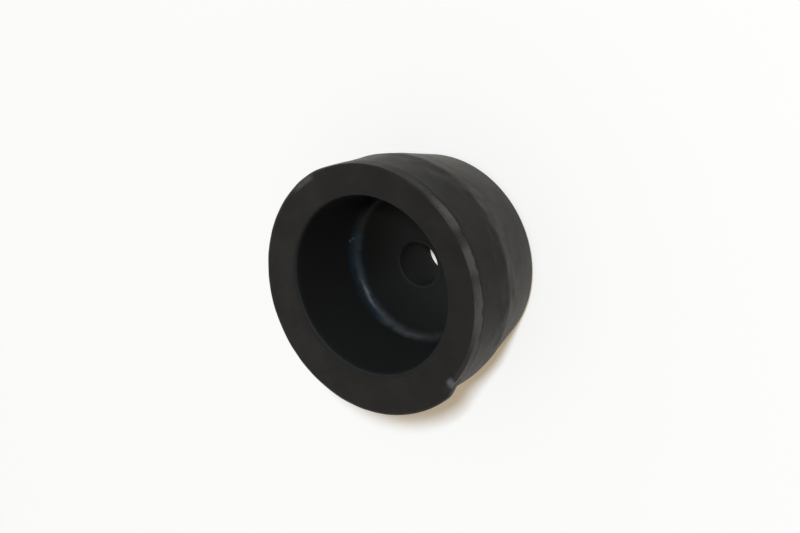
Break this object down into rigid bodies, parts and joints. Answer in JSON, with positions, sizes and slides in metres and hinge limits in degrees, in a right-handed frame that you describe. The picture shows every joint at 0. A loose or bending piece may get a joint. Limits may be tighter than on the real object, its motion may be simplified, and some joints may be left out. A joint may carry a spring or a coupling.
{
  "type": "rubber cushion mount",
  "caption": "Round moulded rubber cushion cup with a tapered socket, a proud rim lip, a tapered heel and a bolt hole through its thick floor.",
  "frame": {"origin": "centre of the closed end, where the cup stands", "axes": "+Z along the bolt hole, out of the socket's mouth; the part is round, so X and Y may be turned freely"},
  "size_m": [0.04, 0.04, 0.0215],
  "materials": {
    "rubber": "matt moulded black rubber, greyed along its worn edges, smoother in the socket"
  },
  "bodies": {
    "root": {"cushion": "rubber"}
  },
  "joints": []
}
